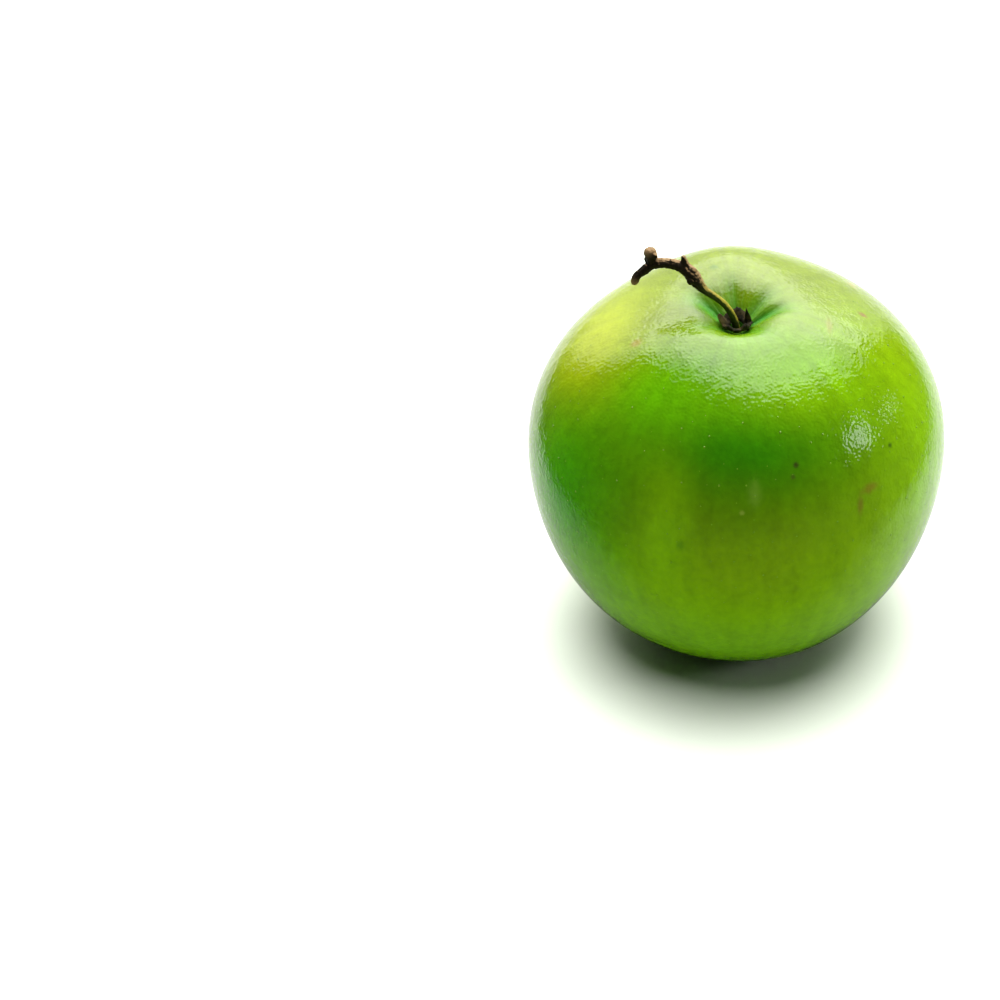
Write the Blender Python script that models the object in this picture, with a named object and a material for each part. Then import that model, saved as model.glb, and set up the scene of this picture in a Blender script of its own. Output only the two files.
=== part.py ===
"""A whole green jujube, as picked: the fruit, its dried calyx and its short woody stem.

Units are metres, +Z is up. The fruit rests at Z = 0 on the flat ring round its blossom end, with
the stem cavity on top. -X is the side that the stem leans to, and -Y is the front.
"""

import math

import bmesh
import bpy
from mathutils import Vector

MM = 0.001

# Fruit: overall form
WIDTH = 60.0 * MM
WIDEST_HEIGHT = 30.8 * MM       # of the widest circle, above the surface that the fruit rests on
CROWN_RISE = 26.15 * MM         # from the widest circle to the top of the dome, before its cavity
BASE_DROP = 33.5 * MM           # from the widest circle to the foot of the dome, before its dimple
RISE_BLEND = 0.4                # how soon above and below the widest circle each dome takes over
BASE_FULLNESS = 0.93            # under 1, the lower half stays wide for longer than a ball does

# Fruit: stem cavity on top, blossom-end dimple below
STEM_OFFSET = 3.85 * MM         # how far in front of the fruit's middle the stem stands
CAVITY_DEPTH = 4.3 * MM
CAVITY_SPREAD = 4.4 * MM
DIMPLE_DEPTH = 3.5 * MM
DIMPLE_SPREAD = 9.0 * MM
NIB_HEIGHT = 0.5 * MM           # the hard point that the flower's style leaves in the dimple
NIB_SPREAD = 1.1 * MM

# Fruit: uneven growth, as (waves round the fruit, share of the radius, turn in degrees)
GIRTH_WAVES = ((2, 0.0098, 303.0), (3, 0.0087, 165.0), (5, 0.0030, 10.0))
GIRTH_RADIUS = 11.0 * MM        # nearer the axis than this, the girth waves fade out
RIM_WAVES = ((1, 0.20 * MM, 227.0), (2, 0.61 * MM, 156.0), (3, 0.61 * MM, 64.0))
RIM_RADIUS = 14.0 * MM
RIM_WIDTH = 7.0 * MM
# Creases that run out of the cavity, as (turn in degrees, depth, half-width in degrees)
CREASES = (
    (10.0, 0.70 * MM, 14.0),
    (43.0, 0.40 * MM, 12.0),
    (98.0, 0.30 * MM, 12.0),
    (150.0, 0.75 * MM, 16.0),
    (212.0, 0.25 * MM, 13.0),
    (311.0, 0.22 * MM, 13.0),
)
CREASE_RADIUS = 4.5 * MM
CREASE_REACH = 3.2 * MM

FRUIT_SEGMENTS = 80
FRUIT_RINGS = 44
CAVITY_RINGS = 4                # of those rings, the last ones by the stem, each split in two

# Stem socket in the cavity floor, and the gap that the calyx keeps above the skin, straight up
SOCKET_RADIUS = 1.0 * MM
SOCKET_DEPTH = 1.6 * MM
GAP = 0.5 * MM

# Calyx: a low dried collar round the stem, with five worn sepals
CALYX_INNER_RADIUS = 1.05 * MM
CALYX_OUTER_RADIUS = 2.3 * MM
CALYX_THICKNESS = 0.42 * MM
CALYX_SEGMENTS = 60
# Each sepal: the way it points in degrees, its height, its half-width in degrees, its reach outwards
SEPALS = (
    (20.0, 2.25 * MM, 15.0, -0.60 * MM),
    (88.0, 0.55 * MM, 24.0, 0.10 * MM),
    (172.0, 0.75 * MM, 26.0, 0.45 * MM),
    (238.0, 0.45 * MM, 22.0, 0.05 * MM),
    (306.0, 0.80 * MM, 20.0, 0.20 * MM),
)

# Stem: the line of each limb as (x, y, z, radius) in mm, from root to tip
STEM_ROOT_HEIGHT = 51.45
MAIN_LIMB = (
    (0.0, 0.0, STEM_ROOT_HEIGHT, 0.54),
    (-0.05, 0.0, 52.9, 0.54),
    (-0.42, 0.05, 54.4, 0.51),
    (-1.0, 0.2, 55.6, 0.49),
    (-1.75, 0.5, 56.5, 0.48),
    (-3.05, 0.9, 57.45, 0.50),
    (-4.4, 1.4, 58.2, 0.58),
    (-5.4, 1.8, 59.2, 0.88),
    (-6.2, 2.1, 60.3, 1.02),
    (-7.1, 2.4, 61.1, 0.90),
    (-8.2, 2.7, 61.5, 0.76),
    (-9.9, 3.1, 61.6, 0.72),
    (-11.4, 3.35, 61.4, 0.76),
    (-12.2, 3.45, 61.0, 0.62),
)
UPRIGHT_STUB = (
    (-11.5, 3.4, 61.4, 0.68),
    (-11.75, 3.45, 62.1, 0.80),
    (-11.95, 3.55, 62.9, 0.88),
    (-12.05, 3.6, 63.4, 0.84),
    (-12.1, 3.6, 63.7, 0.52),
)
DROOPING_TIP = (
    (-11.6, 3.4, 61.3, 0.66),
    (-12.7, 3.3, 60.5, 0.70),
    (-13.5, 3.1, 59.9, 0.58),
    (-14.0, 2.95, 59.4, 0.60),
    (-14.2, 2.85, 58.8, 0.58),
    (-14.25, 2.8, 58.35, 0.36),
)
SIDE_BUD = (
    (-7.0, 2.4, 61.4, 0.68),
    (-7.2, 2.45, 62.2, 0.50),
    (-7.4, 2.5, 63.1, 0.30),
)
# Swollen scars where other fruit dropped off, as (x, y, z, radius) in mm
SCARS = (
    (-6.1, 2.0, 61.0, 0.62),
    (-8.9, 2.8, 61.9, 0.52),
    (-6.3, 1.4, 59.8, 0.60),
    (-12.3, 4.0, 61.7, 0.58),
    (-11.4, 2.95, 62.9, 0.46),
)
STEM_SIDES = 2                  # bevel resolution, which gives 8 sides round each limb
STEM_STEPS = 3                  # stations between two points of a limb


def clear_scene():
    for old in list(bpy.data.objects):
        bpy.data.objects.remove(old)


def finish(name, colour, roughness):
    """A plain material: colour as linear red, green and blue."""
    material = bpy.data.materials.new(name)
    material.use_nodes = True
    shader = material.node_tree.nodes["Principled BSDF"]
    shader.inputs["Base Color"].default_value = (*colour, 1.0)
    shader.inputs["Roughness"].default_value = roughness
    shader.inputs["Metallic"].default_value = 0.0
    return material


def new_object(name, mesh, material=None):
    made = bpy.data.objects.new(name, mesh)
    bpy.context.scene.collection.objects.link(made)
    if material:
        mesh.materials.clear()
        mesh.materials.append(material)
    return made


# The fruit's skin as a formula

def bell(distance, spread):
    """1 at no distance, falling smoothly to 0."""
    return math.exp(-((distance / spread) ** 2))


def waves(turn, table):
    """The sum of a table of waves at a turn round the fruit, in radians."""
    return sum(size * math.cos(count * turn + math.radians(start)) for count, size, start in table)


def crease(turn):
    """How deep the creases are at a turn round the stem, in radians."""
    depth = 0.0
    for at, deep, half_width in CREASES:
        away = 1.0 - math.cos(turn - math.radians(at))
        depth += deep * math.exp(-away / (1.0 - math.cos(math.radians(half_width))))
    return depth


def dome_height(slope):
    """Height of the even fruit. slope runs from -90 degrees at the foot to 90 at the top."""
    middle = (CROWN_RISE + BASE_DROP) / 2
    half_difference = (BASE_DROP - CROWN_RISE) / 2
    rise = middle - half_difference * math.tanh(math.sin(slope) / RISE_BLEND)
    return WIDEST_HEIGHT + rise * math.sin(slope)


def skin_point(slope, turn):
    """A place on the skin. turn is round the stem, which stands in front of the fruit's middle."""
    upper = slope > 0
    radius = WIDTH / 2 * math.cos(slope) ** (1.0 if upper else BASE_FULLNESS)
    girth = 1.0 + waves(turn, GIRTH_WAVES) * min(1.0, radius / GIRTH_RADIUS)
    behind = STEM_OFFSET * (1.0 - math.sin(slope) ** 4 if upper else 1.0)
    x = radius * girth * math.cos(turn)
    y = radius * girth * math.sin(turn) + behind
    if upper:
        from_middle = math.hypot(x, y - STEM_OFFSET) / girth
        height = dome_height(math.acos(min(1.0, from_middle / (WIDTH / 2))))
        height -= CAVITY_DEPTH * bell(radius, CAVITY_SPREAD)
        height += waves(turn, RIM_WAVES) * bell(radius - RIM_RADIUS, RIM_WIDTH)
        height -= crease(turn) * bell(radius - CREASE_RADIUS, CREASE_REACH)
    else:
        height = dome_height(slope)
        height += DIMPLE_DEPTH * bell(radius, DIMPLE_SPREAD) - NIB_HEIGHT * bell(radius, NIB_SPREAD)
    return Vector((x, y, max(0.0, height)))


def skin_height(radius, turn):
    """Height of the skin at a distance and a turn from the stem."""
    return skin_point(math.acos(radius / (WIDTH / 2)), turn).z


def make_fruit(material):
    steps = list(range(1, FRUIT_RINGS))
    steps += [FRUIT_RINGS - number - 0.5 for number in range(1, CAVITY_RINGS + 1)]
    slopes = [math.radians(-90.0 + 180.0 * step / FRUIT_RINGS) for step in sorted(steps)]
    slopes.append(math.acos(SOCKET_RADIUS / (WIDTH / 2)))
    turns = [math.tau * step / FRUIT_SEGMENTS for step in range(FRUIT_SEGMENTS)]
    work = bmesh.new()
    rings = [[work.verts.new(skin_point(slope, turn)) for turn in turns] for slope in slopes]
    socket_floor = skin_height(SOCKET_RADIUS, 0.0) - SOCKET_DEPTH
    rings.append([work.verts.new((v.co.x, v.co.y, socket_floor)) for v in rings[-1]])
    foot = work.verts.new(skin_point(math.radians(-90.0), 0.0))
    floor = work.verts.new((0.0, 0.0, socket_floor))
    for lower, upper in zip(rings, rings[1:]):
        for here in range(FRUIT_SEGMENTS):
            there = (here + 1) % FRUIT_SEGMENTS
            work.faces.new((lower[here], lower[there], upper[there], upper[here]))
    for here in range(FRUIT_SEGMENTS):
        there = (here + 1) % FRUIT_SEGMENTS
        work.faces.new((foot, rings[0][there], rings[0][here]))
        work.faces.new((floor, rings[-1][here], rings[-1][there]))
    bmesh.ops.triangulate(work, faces=[face for face in work.faces if len(face.verts) > 3])
    bmesh.ops.recalc_face_normals(work, faces=work.faces)
    mesh = bpy.data.meshes.new("fruit")
    work.to_mesh(mesh)
    work.free()
    mesh.shade_smooth()
    mesh.set_sharp_from_angle(angle=math.radians(40.0))
    return new_object("fruit", mesh, material)


# The calyx collar

def sepal_rise(degrees_round):
    """(height, reach) that the sepals add to the collar at a turn round the stem."""
    height = reach = 0.0
    for points_to, rise, half_width, out in SEPALS:
        away = abs((degrees_round - points_to + 180.0) % 360.0 - 180.0)
        share = max(0.0, 1.0 - away / half_width)
        height += rise * share ** 0.8
        reach += out * share
    return height, reach


def make_calyx(material):
    work = bmesh.new()
    rings = []
    for step in range(CALYX_SEGMENTS):
        degrees_round = 360.0 * step / CALYX_SEGMENTS
        height, reach = sepal_rise(degrees_round)
        outer = CALYX_OUTER_RADIUS + reach
        inner = CALYX_INNER_RADIUS
        middle = (inner + outer) / 2
        turn = math.radians(degrees_round)
        under = [skin_height(radius, turn) + GAP for radius in (inner, middle, outer)]
        section = (
            (inner, under[0]),
            (middle, under[1]),
            (outer, under[2]),
            (outer - 0.10 * MM, under[2] + CALYX_THICKNESS * 0.7 + height * 0.55),
            (middle + 0.12 * MM, under[1] + CALYX_THICKNESS + height),
            (inner + 0.10 * MM, under[0] + CALYX_THICKNESS),
        )
        rings.append(
            [work.verts.new((r * math.cos(turn), r * math.sin(turn), z)) for r, z in section]
        )
    for here, there in zip(rings, rings[1:] + rings[:1]):
        for corner in range(len(here)):
            after = (corner + 1) % len(here)
            work.faces.new((here[corner], there[corner], there[after], here[after]))
    bmesh.ops.triangulate(work, faces=work.faces)
    bmesh.ops.recalc_face_normals(work, faces=work.faces)
    mesh = bpy.data.meshes.new("calyx")
    work.to_mesh(mesh)
    work.free()
    return new_object("calyx", mesh, material)


# The stem

def limb(name, line):
    """A tapering round limb through a line of points, closed at both ends, as a mesh object."""
    curve = bpy.data.curves.new(name, "CURVE")
    curve.dimensions = "3D"
    curve.bevel_depth = MM
    curve.bevel_resolution = STEM_SIDES
    curve.use_fill_caps = True
    curve.resolution_u = STEM_STEPS
    spline = curve.splines.new("BEZIER")
    spline.bezier_points.add(len(line) - 1)
    for point, (x, y, z, radius) in zip(spline.bezier_points, line):
        point.co = Vector((x, y, z)) * MM
        point.radius = radius
        point.handle_left_type = point.handle_right_type = "AUTO"
    guide = new_object(name + "_line", curve)
    graph = bpy.context.evaluated_depsgraph_get()
    mesh = bpy.data.meshes.new_from_object(guide.evaluated_get(graph))
    bpy.data.objects.remove(guide)
    return new_object(name, mesh)


def scar(name, x, y, z, radius):
    work = bmesh.new()
    bmesh.ops.create_icosphere(work, subdivisions=2, radius=radius * MM)
    bmesh.ops.translate(work, verts=work.verts, vec=Vector((x, y, z)) * MM)
    mesh = bpy.data.meshes.new(name)
    work.to_mesh(mesh)
    work.free()
    return new_object(name, mesh)


def make_stem(material):
    stem = limb("stem", MAIN_LIMB)
    grown = [
        limb("upright_stub", UPRIGHT_STUB),
        limb("drooping_tip", DROOPING_TIP),
        limb("side_bud", SIDE_BUD),
    ]
    grown += [scar(f"scar_{number}", *place) for number, place in enumerate(SCARS)]
    together = bpy.data.collections.new("grown on the stem")
    for piece in grown:
        together.objects.link(piece)
    union = stem.modifiers.new("union", "BOOLEAN")
    union.operation = "UNION"
    union.operand_type = "COLLECTION"
    union.solver = "EXACT"
    union.collection = together
    graph = bpy.context.evaluated_depsgraph_get()
    mesh = bpy.data.meshes.new_from_object(stem.evaluated_get(graph))
    stem.modifiers.clear()
    stem.data = mesh
    for piece in grown:
        bpy.data.objects.remove(piece)
    bpy.data.collections.remove(together)
    mesh.name = "stem"
    mesh.materials.clear()
    mesh.materials.append(material)
    mesh.shade_smooth()
    mesh.set_sharp_from_angle(angle=math.radians(50.0))
    return stem


def centre_on(fruit, others):
    """Moves everything sideways so that the fruit's width and depth are centred on the origin."""
    low = [min(v.co[axis] for v in fruit.data.vertices) for axis in (0, 1)]
    high = [max(v.co[axis] for v in fruit.data.vertices) for axis in (0, 1)]
    shift = Vector((-(low[0] + high[0]) / 2, -(low[1] + high[1]) / 2, 0.0))
    for piece in [fruit, *others]:
        for vertex in piece.data.vertices:
            vertex.co += shift


clear_scene()
skin = finish("jujube_skin", (0.20, 0.42, 0.02), 0.28)
dried = finish("dried_calyx", (0.050, 0.028, 0.016), 0.80)
bark = finish("stem_bark", (0.070, 0.045, 0.022), 0.75)

fruit = make_fruit(skin)
calyx = make_calyx(dried)
stem = make_stem(bark)
centre_on(fruit, [calyx, stem])
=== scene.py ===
# %% [markdown]
# # A green jujube, dressed for its portrait
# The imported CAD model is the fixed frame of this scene: a fruit, a dried calyx and a woody stem.
# The lesson gives each of them a finer mesh and a finish, from the formula and sizes that made
# the CAD model, so that every new piece lies exactly where its CAD node does.

# %% Load the frame and keep its box
import math

import bmesh
import bpy
from mathutils import Matrix, Vector, kdtree, noise


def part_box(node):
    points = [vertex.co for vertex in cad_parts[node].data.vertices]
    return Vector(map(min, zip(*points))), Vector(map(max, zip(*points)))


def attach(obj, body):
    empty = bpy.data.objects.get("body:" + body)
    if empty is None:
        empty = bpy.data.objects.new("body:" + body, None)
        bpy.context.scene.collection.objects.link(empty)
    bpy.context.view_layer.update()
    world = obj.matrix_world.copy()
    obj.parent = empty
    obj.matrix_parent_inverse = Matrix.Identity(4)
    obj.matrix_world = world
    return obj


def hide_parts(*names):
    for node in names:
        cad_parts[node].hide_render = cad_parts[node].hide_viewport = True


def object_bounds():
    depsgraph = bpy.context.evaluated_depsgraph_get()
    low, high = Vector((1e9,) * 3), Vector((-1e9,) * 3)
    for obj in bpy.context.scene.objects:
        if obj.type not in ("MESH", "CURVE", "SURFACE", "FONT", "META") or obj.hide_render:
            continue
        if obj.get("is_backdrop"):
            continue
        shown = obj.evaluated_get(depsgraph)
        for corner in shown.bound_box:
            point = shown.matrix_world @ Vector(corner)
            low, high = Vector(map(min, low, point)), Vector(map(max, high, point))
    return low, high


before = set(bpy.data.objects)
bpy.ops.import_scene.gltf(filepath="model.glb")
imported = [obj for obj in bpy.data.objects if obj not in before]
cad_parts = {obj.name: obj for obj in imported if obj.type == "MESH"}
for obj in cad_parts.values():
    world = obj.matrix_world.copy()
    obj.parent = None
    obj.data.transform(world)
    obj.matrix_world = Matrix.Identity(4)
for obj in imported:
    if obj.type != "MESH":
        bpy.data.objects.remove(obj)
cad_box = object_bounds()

MM = 0.001


def in_mm(box):
    """The two corners of a box in mm, for printing."""
    return [[round(number / MM, 2) for number in corner] for corner in box]


print("CAD box in mm:", in_mm(cad_box))

# %% [markdown]
# ## The skin as a rule
# A jujube grows as a body of revolution that isn't quite even. Its outline is a dome above and a
# longer dome below the widest circle, with a cavity for the stem and a dimple for the dried
# flower. The stem stands a little in front of the middle. Sine waves round the fruit make it
# slightly three-sided, and creases run out of the cavity.

# %% The fruit's sizes
WIDTH = 60.0 * MM
WIDEST_HEIGHT = 30.8 * MM
CROWN_RISE = 26.15 * MM
BASE_DROP = 33.5 * MM
RISE_BLEND = 0.4  # how softly the upper dome turns into the lower one
BASE_FULLNESS = 0.93  # 1 is a plain dome below, and less is fuller
STEM_OFFSET = 3.85 * MM  # how far in front of the fruit's middle the stem stands
CAVITY_DEPTH = 4.3 * MM
CAVITY_SPREAD = 4.4 * MM
DIMPLE_DEPTH = 3.5 * MM
DIMPLE_SPREAD = 9.0 * MM
NIB_HEIGHT = 0.5 * MM
NIB_SPREAD = 1.1 * MM
# Waves as (how many round the fruit, size, turn in degrees)
GIRTH_WAVES = ((2, 0.0098, 303.0), (3, 0.0087, 165.0), (5, 0.0030, 10.0))
GIRTH_RADIUS = 11.0 * MM  # nearer the axis than this, the girth waves fade out
RIM_WAVES = ((1, 0.20 * MM, 227.0), (2, 0.61 * MM, 156.0), (3, 0.61 * MM, 64.0))
RIM_RADIUS = 14.0 * MM
RIM_WIDTH = 7.0 * MM
# Creases that run out of the cavity, as (turn in degrees, depth, half-width in degrees)
CREASES = (
    (10.0, 0.70 * MM, 14.0), (43.0, 0.40 * MM, 12.0), (98.0, 0.30 * MM, 12.0),
    (150.0, 0.75 * MM, 16.0), (212.0, 0.25 * MM, 13.0), (311.0, 0.22 * MM, 13.0),
)
CREASE_RADIUS = 4.5 * MM
CREASE_REACH = 3.2 * MM
SOCKET_RADIUS = 1.0 * MM
SOCKET_DEPTH = 1.6 * MM
print("the fruit is", WIDTH / MM, "mm wide")

# %% [markdown]
# ## Sums written as nodes
# Geometry Nodes and shader nodes do arithmetic with one small Math node per step, so a formula
# soon becomes a long chain. With this helper it is written as in plain Python: each operator
# adds the Math node that does it. The skin's shape and its colours both use it.

# %% A number that lives in a node tree
def link(tree, source, target):
    """Links a Number or a socket to an input, or sets a plain value there."""
    if isinstance(source, Number):
        source = source.socket
    if isinstance(source, bpy.types.NodeSocket):
        tree.links.new(source, target)
    else:
        target.default_value = source


class Number:
    """The value of a socket. Each sum with it adds a Math node to its tree."""

    def __init__(self, tree, socket):
        self.tree, self.socket = tree, socket

    def sum(self, operation, *others, clamp=False):
        node = self.tree.nodes.new("ShaderNodeMath")
        node.operation, node.use_clamp = operation, clamp
        for place, value in enumerate((self, *others)):
            link(self.tree, value, node.inputs[place])
        return Number(self.tree, node.outputs[0])

    def start(self, value):
        """A plain value as a Number of the same tree."""
        node = self.tree.nodes.new("ShaderNodeValue")
        node.outputs[0].default_value = value
        return Number(self.tree, node.outputs[0])

    def __add__(self, other): return self.sum("ADD", other)
    def __sub__(self, other): return self.sum("SUBTRACT", other)
    def __mul__(self, other): return self.sum("MULTIPLY", other)
    def __truediv__(self, other): return self.sum("DIVIDE", other)
    def __pow__(self, other): return self.sum("POWER", other)
    def __radd__(self, other): return self.start(other).sum("ADD", self)
    def __rsub__(self, other): return self.start(other).sum("SUBTRACT", self)
    def __rmul__(self, other): return self.start(other).sum("MULTIPLY", self)
    def __rtruediv__(self, other): return self.start(other).sum("DIVIDE", self)
    def __neg__(self): return self.sum("MULTIPLY", -1.0)

    def above(self, limit): return self.sum("GREATER_THAN", limit)
    def at_most(self, limit): return self.sum("MINIMUM", limit)
    def at_least(self, limit): return self.sum("MAXIMUM", limit)
    def sine(self): return self.sum("SINE")
    def cosine(self): return self.sum("COSINE")
    def arc_cosine(self): return self.sum("ARCCOSINE")
    def tanh(self): return self.sum("TANH")
    def exponent(self): return self.sum("EXPONENT")
    def root(self): return self.sum("SQRT")
    def size(self): return self.sum("ABSOLUTE")
    def clamped(self): return self.sum("ADD", 0.0, clamp=True)


def bell(distance, spread):
    """1 at no distance, falling smoothly to 0: for plain numbers and for node numbers."""
    if isinstance(distance, Number):
        return (-((distance / spread) * (distance / spread))).exponent()
    return math.exp(-((distance / spread) ** 2))


def cosine(angle):
    return angle.cosine() if isinstance(angle, Number) else math.cos(angle)


def waves(turn, table):
    """The sum of a table of waves at a turn round the fruit, in radians."""
    total = 0.0
    for count, size, start in table:
        total = cosine(turn * count + math.radians(start)) * size + total
    return total


def crease(turn):
    """How deep the creases are at a turn round the stem, in radians."""
    depth = 0.0
    for at, deep, half_width in CREASES:
        narrow = 1.0 - math.cos(math.radians(half_width))
        farness = (cosine(turn - math.radians(at)) - 1.0) / narrow
        share = farness.exponent() if isinstance(turn, Number) else math.exp(farness)
        depth = share * deep + depth
    return depth


print("a bell curve at half its spread is", round(bell(0.5, 1.0), 3))

# %% [markdown]
# ## The skin
# The fruit could be a sphere pushed about by hand, but a rule is exact and can be changed later.
# A flat grid is the sheet: its columns go round the fruit and its rows from the foot to the
# stem. Geometry Nodes wrap it into a closed skin, point by point. The last two rows form the
# socket that the stem stands in.

# %% Objects and plain meshes
def add_object(name, data):
    made = bpy.data.objects.new(name, data)
    bpy.context.scene.collection.objects.link(made)
    return made


def bake(guide):
    """What an object shows, with its modifiers or its bevel, as a plain mesh. The object goes."""
    graph = bpy.context.evaluated_depsgraph_get()
    mesh = bpy.data.meshes.new_from_object(guide.evaluated_get(graph))
    bpy.data.objects.remove(guide)
    return mesh


def new_material(name):
    made = bpy.data.materials.new(name)
    made.use_nodes = True
    return made


skin = new_material("jujube_skin")
print("first material:", skin.name)


# %% Small helpers for Geometry Nodes
def new_tree(name, sizes):
    """A Geometry Nodes tree with a geometry input and output and a named input for each size."""
    tree = bpy.data.node_groups.new(name, "GeometryNodeTree")
    tree.interface.new_socket("Geometry", in_out="INPUT", socket_type="NodeSocketGeometry")
    tree.interface.new_socket("Geometry", in_out="OUTPUT", socket_type="NodeSocketGeometry")
    for label, value in sizes.items():
        kind = "NodeSocketInt" if isinstance(value, int) else "NodeSocketFloat"
        made = tree.interface.new_socket(label, in_out="INPUT", socket_type=kind)
        made.default_value = value
    start = tree.nodes.new("NodeGroupInput")
    inputs = {label: Number(tree, start.outputs[label]) for label in sizes}
    return tree, start, inputs


def set_inputs(tree, node, **inputs):
    """Links or sets the inputs of a node by name, with _ for a space."""
    for label, source in inputs.items():
        link(tree, source, node.inputs[label.replace("_", " ")])
    return node


def add_node(tree, kind, **inputs):
    return set_inputs(tree, tree.nodes.new(kind), **inputs)


def axes(tree, vector):
    """The x, y and z of a vector socket as Numbers."""
    node = add_node(tree, "ShaderNodeSeparateXYZ", Vector=vector)
    return [Number(tree, node.outputs[axis]) for axis in "XYZ"]


def end_tree(tree, geometry, material):
    """Makes copies real, shades the faces smooth, sets their material and leads it all out."""
    real = add_node(tree, "GeometryNodeRealizeInstances", Geometry=geometry)
    smooth = add_node(tree, "GeometryNodeSetShadeSmooth", Geometry=real.outputs[0])
    painted = add_node(tree, "GeometryNodeSetMaterial",
                       Geometry=smooth.outputs[0], Material=material)
    end = tree.nodes.new("NodeGroupOutput")
    tree.links.new(painted.outputs[0], end.inputs[0])


def grow_mesh(name, tree, sizes, base=None):
    """Runs a tree on an object and returns what it grew as a plain mesh object."""
    host = add_object(name + "_host", base or bpy.data.meshes.new(name + "_host"))
    modifier = host.modifiers.new(name, "NODES")
    modifier.node_group = tree
    names = {item.name: item.identifier for item in tree.interface.items_tree
             if item.in_out == "INPUT"}
    for label, value in sizes.items():
        modifier[names[label]] = value
    mesh = bake(host)
    mesh.name = name
    print(name, "has", len(mesh.vertices), "points and", len(mesh.polygons), "faces")
    return add_object(name, mesh)


# %% The skin's height near the stem, in plain numbers
def dome_height(slope):
    """Height of the even fruit. slope runs from -90 degrees at the foot to 90 at the top."""
    middle, half_difference = (CROWN_RISE + BASE_DROP) / 2, (BASE_DROP - CROWN_RISE) / 2
    rise = middle - half_difference * math.tanh(math.sin(slope) / RISE_BLEND)
    return WIDEST_HEIGHT + rise * math.sin(slope)


def skin_height(radius, turn):
    """Height of the skin at a distance and turn from the stem."""
    girth = 1.0 + waves(turn, GIRTH_WAVES) * min(1.0, radius / GIRTH_RADIUS)
    steepness = 1.0 - (radius / (WIDTH / 2)) ** 2
    x = radius * girth * math.cos(turn)
    from_middle = radius * girth * math.sin(turn) - STEM_OFFSET * steepness ** 2
    distance = math.hypot(x, from_middle) / girth
    height = dome_height(math.acos(min(1.0, distance / (WIDTH / 2))))
    height -= CAVITY_DEPTH * bell(radius, CAVITY_SPREAD)
    height += waves(turn, RIM_WAVES) * bell(radius - RIM_RADIUS, RIM_WIDTH)
    return height - crease(turn) * bell(radius - CREASE_RADIUS, CREASE_REACH)


print("the skin beside the stem is", round(skin_height(SOCKET_RADIUS, 0.0) / MM, 2), "mm up")

# %% The skin's named sizes
skin_sizes = {
    "Columns": 300,
    "Rows": 300,
    "Width": WIDTH,
    "Widest Height": WIDEST_HEIGHT,
    "Crown Rise": CROWN_RISE,
    "Base Drop": BASE_DROP,
    "Base Fullness": BASE_FULLNESS,
    "Stem Offset": STEM_OFFSET,
    "Cavity Depth": CAVITY_DEPTH,
    "Dimple Depth": DIMPLE_DEPTH,
    "Socket Radius": SOCKET_RADIUS,
    "Socket Depth": SOCKET_DEPTH,
    "Shift X": 0.0,
    "Shift Y": 0.0,
}
print("the skin's tree gets", len(skin_sizes), "named inputs")


# %% Where a point of the sheet stands over the floor
def floor_place(size, turn, slope, is_low):
    """(x, y, radius, slope) of a point. The stem is the sheet's pole, and the fruit's middle lies
    behind it, so the slope is measured again from that middle."""
    half = size["Width"] / 2
    radius = half * slope.cosine().at_least(0.0) ** (1.0 + is_low * (size["Base Fullness"] - 1.0))
    girth = waves(turn, GIRTH_WAVES) * (radius / GIRTH_RADIUS).at_most(1.0) + 1.0
    behind = size["Stem Offset"] * (1.0 - (1.0 - is_low) * slope.sine() ** 4.0)
    x, y = radius * girth * turn.cosine(), radius * girth * turn.sine() + behind
    from_middle = y - size["Stem Offset"]
    distance = (x * x + from_middle * from_middle).root() / girth
    even_slope = (distance / half).at_most(1.0).arc_cosine()
    return x, y, radius, slope * is_low + even_slope * (1.0 - is_low)


# %% How high a point of the sheet lies
def node_height(size, turn, radius, slope, is_low):
    """The even fruit with its cavity and dimple, its uneven growth, and its flat resting ring."""
    middle = (size["Crown Rise"] + size["Base Drop"]) / 2
    half_difference = (size["Base Drop"] - size["Crown Rise"]) / 2
    rise = middle - half_difference * (slope.sine() / RISE_BLEND).tanh()
    height = size["Widest Height"] + rise * slope.sine()
    height = height - (1.0 - is_low) * size["Cavity Depth"] * bell(radius, CAVITY_SPREAD)
    nib = bell(radius, NIB_SPREAD) * NIB_HEIGHT
    height = height + is_low * (size["Dimple Depth"] * bell(radius, DIMPLE_SPREAD) - nib)
    lift = waves(turn, RIM_WAVES) * bell(radius - RIM_RADIUS, RIM_WIDTH)
    lift = lift - crease(turn) * bell(radius - CREASE_RADIUS, CREASE_REACH)
    return (height + lift * (1.0 - is_low)).at_least(0.0)


# %% The skin's tree
WELD_DISTANCE = 0.002 * MM


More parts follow.
